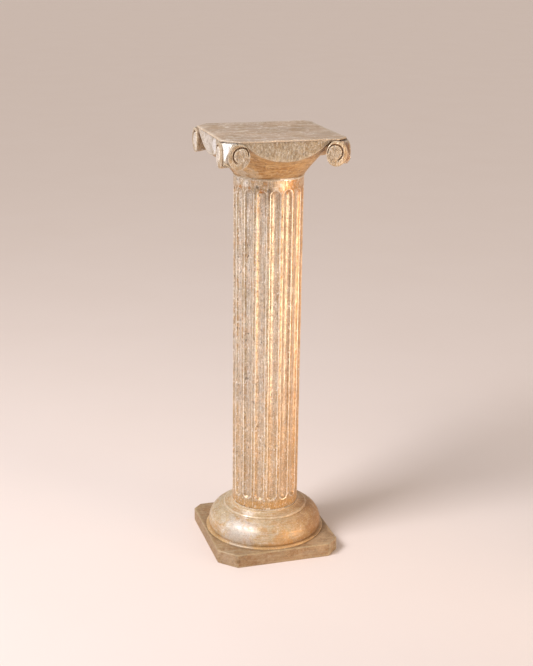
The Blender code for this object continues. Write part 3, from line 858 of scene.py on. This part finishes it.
    normal = None
    for mask, depth, strength in (
        ("dark_streak", -0.25 * MM, look["relief"]), ("fine", 0.12 * MM, look["relief"]),
        ("fleck", -0.5 * MM, look["relief"]), ("punch", -0.6 * MM, look["punch_share"]),
    ):
        sockets = {"Height": masks[mask], "Distance": abs(depth), "Strength": strength}
        if normal is not None:
            sockets["Normal"] = normal
        normal = add_node(tree, "ShaderNodeBump", sockets, invert=depth < 0)["Normal"]
    tree.links.new(normal, shader.inputs["Normal"])
    return material


# The common look. Sizes: patch is a cloud of glaze, mottle a flake of leaf, streak a brush or
# gouge line, fleck_size a dark speck. Brush lines are under 1 mm wide and punch dots about
# 1.5 mm across in the real thing; most are drawn 2 to 4 mm wide, so that they show from a step
# away. The specks and the flakes of leaf are drawn coarser than real for the same reason.
GILDING = {
    "run": "up", "seed": 1.0, "patch": 34 * MM, "mottle": 8 * MM, "streak": 2.6 * MM,
    "fleck_size": 3.4 * MM, "punch_size": 3.6 * MM, "glazed": 0.5, "leafed": 0.6, "metal": 0.55,
    "rough": 0.4, "relief": 0.5, "shelter": (0.05, 0.5), "speckle": 0.12, "tall": 0.45, "painted_warm_side_and_fleck_fade": 0.0,
    "ground": "C0A888", "glaze": "BE8F58", "glaze_share": 0.35, "leaf": "E2D0AC", "leaf_share": 0.6,
    "silver": "E4DED2", "silver_share": 0.4, "shade": "7A5F42", "shade_share": 0.22, "dirt_and_shade_share": 0.5,
    "flute_floor_light": "F0EAE0", "flute_floor_light_share": 0.0,
    "chalk": "F6F1EA", "chalk_share": 0.3, "punch_share": 0.0, "fleck": "51463A", "fleck_share": 0.7,
    "rub_highlight": "F6E8CC", "rub_highlight_share": 0.4, "bands": (), "spots": (),
}


def finish_pieces(board, base, column, capital, slab):
    """Give each piece its finish. A band is (low, high, colour, share) along the height.

    A spot is (place in mm, reach in mm, colour, share): wear, glaze, lime, a painted highlight or painted
    shade at a known place.
    """
    # Limed pine board, sawn and planed, with a thin rubbed gilding: a dull beige, faint long grain.
    board.data.materials.append(worn_gilding("limed_pine_rubbed_gilding", dict(
        GILDING, run="across", seed=2.0, patch=42 * MM, streak=4 * MM, metal=0.15, rough=0.55,
        ground="A2825C", glaze="90663C", glaze_share=0.5, leaf="B09672", silver="BEAE96", silver_share=0.3,
        spots=(
            ((95, -95, 40), 60, "C8A680", 0.5), ((-128, -128, 18), 26, "BCA486", 0.5),
            ((-107, -147, 16), 6, "6E4A26", 0.6),
        ),
        tall=1.0, shade_share=0.18, dirt_and_shade_share=0.45, chalk_share=0.08, fleck_share=0.4, rub_highlight="C9B58E",
        rub_highlight_share=0.35,
    )))
    # Water-gilded leaf on a lathe-turned moulding, burnished over gesso: a soft broad gleam and
    # turned rings, with a painted silver highlight on the dome's and bead's left front, painted warm shade
    # on the right, and a deep gold foot.
    base.data.materials.append(worn_gilding("burnished_leaf_on_turned_wood", dict(
        GILDING, run="lathe_in", seed=3.0, patch=30 * MM, mottle=12 * MM, streak=2.6 * MM, rough=0.38,
        glaze="BE8C50", glaze_share=0.5, ground="C0A680", leaf="DAC6A2", silver="E0D8CC", silver_share=0.3,
        fleck_share=0.25, chalk_share=0.3, shade_share=0.1, dirt_and_shade_share=0.3, rub_highlight_share=0.2, metal=0.35,
        tall=1.0, painted_warm_side_and_fleck_fade=0.9,
        bands=((BASE_BOTTOM, BASE_BOTTOM + 5 * MM, "D9A245", 0.75),),
        # Spots: the pale ones on the dome's left front and on the bead are painted highlights; the dark warm
        # one on the right is painted shade.
        spots=(
            ((-92, -90, 60), 50, "D0CFCE", 0.5), ((115, -72, 54), 75, "A06A34", 0.55),
            ((5, -136, 40), 40, "CF9648", 0.5), ((-62, -68, 97), 14, "F4EEE6", 0.6),
        ),
    )))
    # Silver leaf under a gold lacquer on hand-gouged wood, limed: long bright and dark streaks up
    # the flutes, more flecked and greyer to the left, warmer to the right with painted warm light, flute
    # floors painted pale, and orange glaze with painted shade under the flute heads.
    column.data.materials.append(worn_gilding("lacquered_silver_leaf_on_gouged_wood", dict(
        GILDING, seed=5.0, shelter=(0.04, 0.3), dirt_and_shade_share=0.4, flute_floor_light_share=0.27, metal=0.6, rub_highlight_share=0.9,
        ground="B09470", glaze="C08444", leaf="D6C4A4", shade_share=0.45, silver_share=0.5, silver="DAD4CA",
        fleck_share=0.95, fleck_size=2.6 * MM, streak=2.0 * MM, flute_floor_light="F0EAE2", chalk_share=0.6,
        painted_warm_side_and_fleck_fade=0.85, mottle=5 * MM, speckle=0.26, rub_highlight="FFF8EA", patch=22 * MM, rough=0.36,
        bands=(
            (SHAFT_BOTTOM - 150 * MM, SHAFT_BOTTOM + 250 * MM, "CCA064", 0.3),
            (SHAFT_BOTTOM, SHAFT_BOTTOM + 20 * MM, "CE9C54", 0.5),
            (SHAFT_TOP - 18 * MM, SHAFT_TOP, "E4D2B8", 0.35),
        ),
        # Spots: the orange ones under the flute heads are painted shade; the dark grey ones there are pits
        # and painted shade; the small white ones by the neck and at a flute foot are painted glints; the
        # broad orange one on the right of the neck is painted shade over the warm glow's highlight.
        spots=(
            ((-75, -28, 883), 5, "B0701E", 0.8), ((-60, -53, 882), 4.5, "B0701E", 0.7),
            ((-37, -69, 877), 6, "B0701E", 0.8), ((-45, -66, 887), 4.5, "585046", 0.7),
            ((-21, -77, 880), 6, "585046", 0.6), ((-21, -77, 864), 8, "585046", 0.4),
            ((5, -80, 891), 4.5, "FFF8F0", 0.8), ((19, -78, 892), 5, "FFF8F0", 0.8),
            ((-66, -45, 893), 8, "F4EEE4", 0.6), ((-30, -75, 893), 7, "C08A44", 0.6),
            ((-8, -81, 883), 6, "F2EADC", 0.5), ((-77, -20, 896), 8, "F2ECE2", 0.6),
            ((-54, -60, 900), 6, "C09050", 0.5), ((30, -74, 888), 26, "BE8442", 0.7),
            ((-15, -78, 108), 5, "FFF4E0", 0.7),
        ),
    )))
    # The capital's bell: gold glaze brushed round the turned wood, warmer and darker than the leaf.
    capital.data.materials.append(worn_gilding("brushed_glaze_on_turned_wood", dict(
        GILDING, run="lathe_out", seed=7.0, streak=2.4 * MM, metal=0.4, rough=0.42, ground="B98F5A",
        glaze="95652F", glaze_share=0.55, leaf="D2AC72", leaf_share=0.5, silver="DEC59A", silver_share=0.45,
        shade="6E4A26", shade_share=0.62, chalk_share=0.15, fleck_share=0.4,
        spots=(((-58, -66, 917), 22, "CBBFA8", 0.5), ((-76, -40, 917), 22, "CBBFA8", 0.5)),
    )))
    # The tongues: leaf over a punched ground, which scatters the light into a fine grey stipple, with a
    # painted pale sheen on the left side and painted shade at the front right.
    capital.data.materials.append(worn_gilding("leaf_over_punched_wood", dict(
        GILDING, run="short_up", seed=9.0, streak=2.4 * MM, metal=0.25, rough=0.55, ground="A8967C",
        glaze="957A54", glaze_share=0.6, leaf="C3B69E", silver="D6D0C4", silver_share=0.4, punch_share=0.5,
        fleck_share=0.5, chalk_share=0.3, mottle=5 * MM, patch=22 * MM, speckle=0.2, shade="6E5A44",
        # Spots: the pale ones on the left side are a painted sheen; the brown one at the front right is
        # painted shade.
        spots=(
            ((-140, -50, 978), 20, "F0EEEE", 0.6), ((-140, 20, 968), 70, "E4DEDA", 0.4),
            ((80, -140, 985), 50, "8E744E", 0.4),
        ),
    )))
    # The scrolls' bands and the neck bead: burnished leaf, rubbed through to the warm wood in places,
    # with brown glaze and painted shade left in the grooves, a painted highlight on the bead's front and
    # painted shade on the right scroll's outer side.
    capital.data.materials.append(worn_gilding("burnished_leaf_on_carved_wood", dict(
        GILDING, seed=11.0, streak=4 * MM, metal=0.4, rough=0.38, ground="B29A78", glaze="A07A4E",
        leaf="CFC0A6", fleck_share=0.35, chalk_share=0.2, rub_highlight="E8DCC4", rub_highlight_share=0.3, mottle=6 * MM,
        leafed=0.4, shade="7C4E22", dirt_and_shade_share=0.7,
        # Spots: the near-white one on the bead's front is a painted highlight; the brown one on the right
        # corner's scroll side is painted shade.
        spots=(((18, -80, 906), 26, "FFF8F0", 0.85), ((150, -116, 972), 20, "905C2C", 0.7)),
    )))
    # The corners: silver leaf kept the palest of the carving, a painted highlight for the bright facet, with
    # painted shade under the front-left facet and on the front-right corner.
    capital.data.materials.append(worn_gilding("pale_silver_leaf_painted_highlight_on_carved_wood", dict(
        GILDING, seed=12.0, metal=0.4, rough=0.42, ground="BAB2A6", glaze="A8906E", glaze_share=0.35,
        leaf="CCCAC7", leaf_share=0.7, leafed=0.8, silver="D4D4D4", fleck_share=0.25, shade_share=0.2,
        dirt_and_shade_share=0.2,
        # Spots: painted shade under the front-left facet and over the front-right corner.
        spots=(((-138, -134, 950), 13, "8E7A56", 0.85), ((138, -138, 970), 38, "98683A", 0.85)),
    )))
    # The eyes of the scrolls: leaf over finer punch dots, warmer than the tongues, with a painted pale sheen
    # on the scrolls of the left side.
    capital.data.materials.append(worn_gilding("leaf_over_finely_punched_wood", dict(
        GILDING, run="short_up", seed=14.0, streak=2.4 * MM, metal=0.2, rough=0.55, ground="AA967C",
        glaze="9E8058", glaze_share=0.45, leaf="CDBFA8", shade="6E4E30", punch_size=3.0 * MM,
        punch_share=0.45, mottle=5 * MM, patch=14 * MM, speckle=0.2, fleck_share=0.4,
        # Spots: a painted pale sheen on the left side's scrolls.
        spots=(((-147, -110, 972), 30, "DCD3C8", 0.55), ((-147, 110, 972), 32, "E0D8CE", 0.6)),
    )))
    # The top board: planed wood with a thin limed glaze, matt and cloudy, with long pale brush marks.
    slab.data.materials.append(worn_gilding("planed_wood_limed_glaze", dict(
        GILDING, run="across", seed=13.0, patch=45 * MM, streak=9 * MM, metal=0.12, rough=0.46,
        ground="B49A80", glaze="A2845F", glaze_share=0.55, leaf="CFBCA4", silver="E2DAD0", silver_share=0.22,
        shade_share=0.1, chalk_share=0.3, fleck_share=0.15, rub_highlight="E2D2BA", rub_highlight_share=0.4,
        mottle=20 * MM, leafed=0.4,
    )))


def mark_shade_dirt_and_edges(pieces, reach=22 * MM, lift=0.4 * MM):
    """Mark on every point how sheltered it is and how sharply it turns; the colour shows them as dirt and
    painted shade, and as wear and a painted highlight.

    Shelter is the share of short rays out of the point that meet wood; it darkens hollows, creases and
    joints as dirt and painted shade. Wear is how sharply the surface turns away at the point; it lightens
    edges as rubbing by hands and a painted highlight.
    """
    points, faces = [], []
    for piece in pieces:
        start = len(points)
        points += [v.co.copy() for v in piece.data.vertices]
        faces += [[start + i for i in face.vertices] for face in piece.data.polygons]
    tree = BVHTree.FromPolygons(points, faces)
    rays = [Vector((0, 0, 1))]
    for tilt, share in ((42, 0), (70, 0.5)):
        for i in range(4):
            turn = (i + share) * QUARTER_TURN
            lean = radians(tilt)
            rays.append(Vector((sin(lean) * cos(turn), sin(lean) * sin(turn), cos(lean))))
    for piece in pieces:
        mesh = piece.data
        sheltered = []
        for v in mesh.vertices:
            facing = v.normal.to_track_quat("Z", "Y")
            start = v.co + v.normal * lift
            closed = 0
            for ray in rays:
                distance = tree.ray_cast(start, facing @ ray, reach)[3]
                if distance is not None:
                    closed += 1 - distance / reach
            sheltered.append(closed / len(rays))
        count = len(mesh.vertices)
        place = numpy.empty(count * 3)
        out = numpy.empty(count * 3)
        ends = numpy.empty(len(mesh.edges) * 2, dtype=int)
        mesh.vertices.foreach_get("co", place)
        mesh.vertices.foreach_get("normal", out)
        mesh.edges.foreach_get("vertices", ends)
        place, out, ends = place.reshape(-1, 3), out.reshape(-1, 3), ends.reshape(-1, 2)
        bend = numpy.zeros(count)
        links = numpy.zeros(count)
        for near, far in ((0, 1), (1, 0)):
            step = place[ends[:, far]] - place[ends[:, near]]
            length = numpy.maximum((step ** 2).sum(1), 1e-9)
            turn = -2 * (step * out[ends[:, near]]).sum(1) / length
            numpy.add.at(bend, ends[:, near], turn)
            numpy.add.at(links, ends[:, near], 1)
        worn = numpy.clip(bend / numpy.maximum(links, 1) * 3 * MM, 0, 1)
        for name, values in (("sheltered", numpy.array(sheltered)), ("worn", worn)):
            for _ in range(2):
                total = values.copy()
                for near, far in ((0, 1), (1, 0)):
                    numpy.add.at(total, ends[:, near], values[ends[:, far]])
                values = total / (links + 1)
            mesh.attributes.new(name, "FLOAT", "POINT").data.foreach_set("value", values)


# Stage and light

FLOOR_HALF_SIDE = 60


def paint_floor():
    """Matt pale floor paint, rolled on: even, with a very faint cloudiness."""
    material = bpy.data.materials.new("matt_pale_floor_paint")
    material.use_nodes = True
    tree = material.node_tree
    shader = tree.nodes["Principled BSDF"]
    place = add_node(tree, "ShaderNodeTexCoord", {})["Object"]
    pattern = {"Vector": place, "Scale": per_metre(400 * MM), "Detail": 3}
    cloud = add_node(tree, "ShaderNodeTexNoise", pattern)["Fac"]
    colour = add_node(
        tree, "ShaderNodeMix", {0: cloud, 6: linear("EDDFD6"), 7: linear("F0E3DB")}, data_type="RGBA"
    )[2]
    tree.links.new(colour, shader.inputs["Base Color"])
    shader.inputs["Roughness"].default_value = 0.85
    shader.inputs["Specular IOR Level"].default_value = 0.2
    return material


def lay_floor():
    bm = bmesh.new()
    bmesh.ops.create_grid(bm, x_segments=1, y_segments=1, size=FLOOR_HALF_SIDE)
    mesh = bpy.data.meshes.new("floor")
    bm.to_mesh(mesh)
    bm.free()
    floor = bpy.data.objects.new("floor", mesh)
    mesh.materials.append(paint_floor())
    bpy.context.scene.collection.objects.link(floor)


def add_light(name, kind, place, aim, power, hex_colour, **settings):
    """A light at a place, turned towards the point it is aimed at."""
    data = bpy.data.lights.new(name, kind)
    data.energy = power
    data.color = linear(hex_colour)[:3]
    for setting, value in settings.items():
        setattr(data, setting, value)
    light = bpy.data.objects.new(name, data)
    light.location = place
    light.rotation_euler = (Vector(aim) - Vector(place)).to_track_quat("-Z", "Y").to_euler()
    light.visible_camera = False
    bpy.context.scene.collection.objects.link(light)


def light_studio():
    """Soft daylight from the left, and a warm glow from low on the right.

    The plain view transform keeps the gold as strong as it is in daylight.
    """
    world = bpy.data.worlds.new("soft_daylight")
    world.use_nodes = True
    background = world.node_tree.nodes["Background"]
    background.inputs["Color"].default_value = linear("F3EAE4")
    background.inputs["Strength"].default_value = 0.52
    bpy.context.scene.world = world
    bpy.context.scene.view_settings.view_transform = "Standard"
    middle = (0, 0, 0.55)
    add_light("daylight", "SUN", (-2.7, -1.0, 3.5), middle, 1.0, "FFF6F0", angle=radians(30))
    add_light(
        "window", "AREA", (-1.97, -0.72, 2.5), middle, 60, "F1F4FF",
        shape="RECTANGLE", size=1.0, size_y=1.0,
    )
    add_light(
        "warm_glow", "AREA", (0.9, -1.07, 0.4), middle, 2.8, "FFE2C4",
        shape="RECTANGLE", size=0.5, size_y=0.9, spread=radians(70),
    )


set_camera()
lay_floor()
light_studio()
pieces = [carve_plinth(), carve_base(), carve_shaft(), carve_capital(), saw_board()]
mark_shade_dirt_and_edges(pieces)
finish_pieces(*pieces)
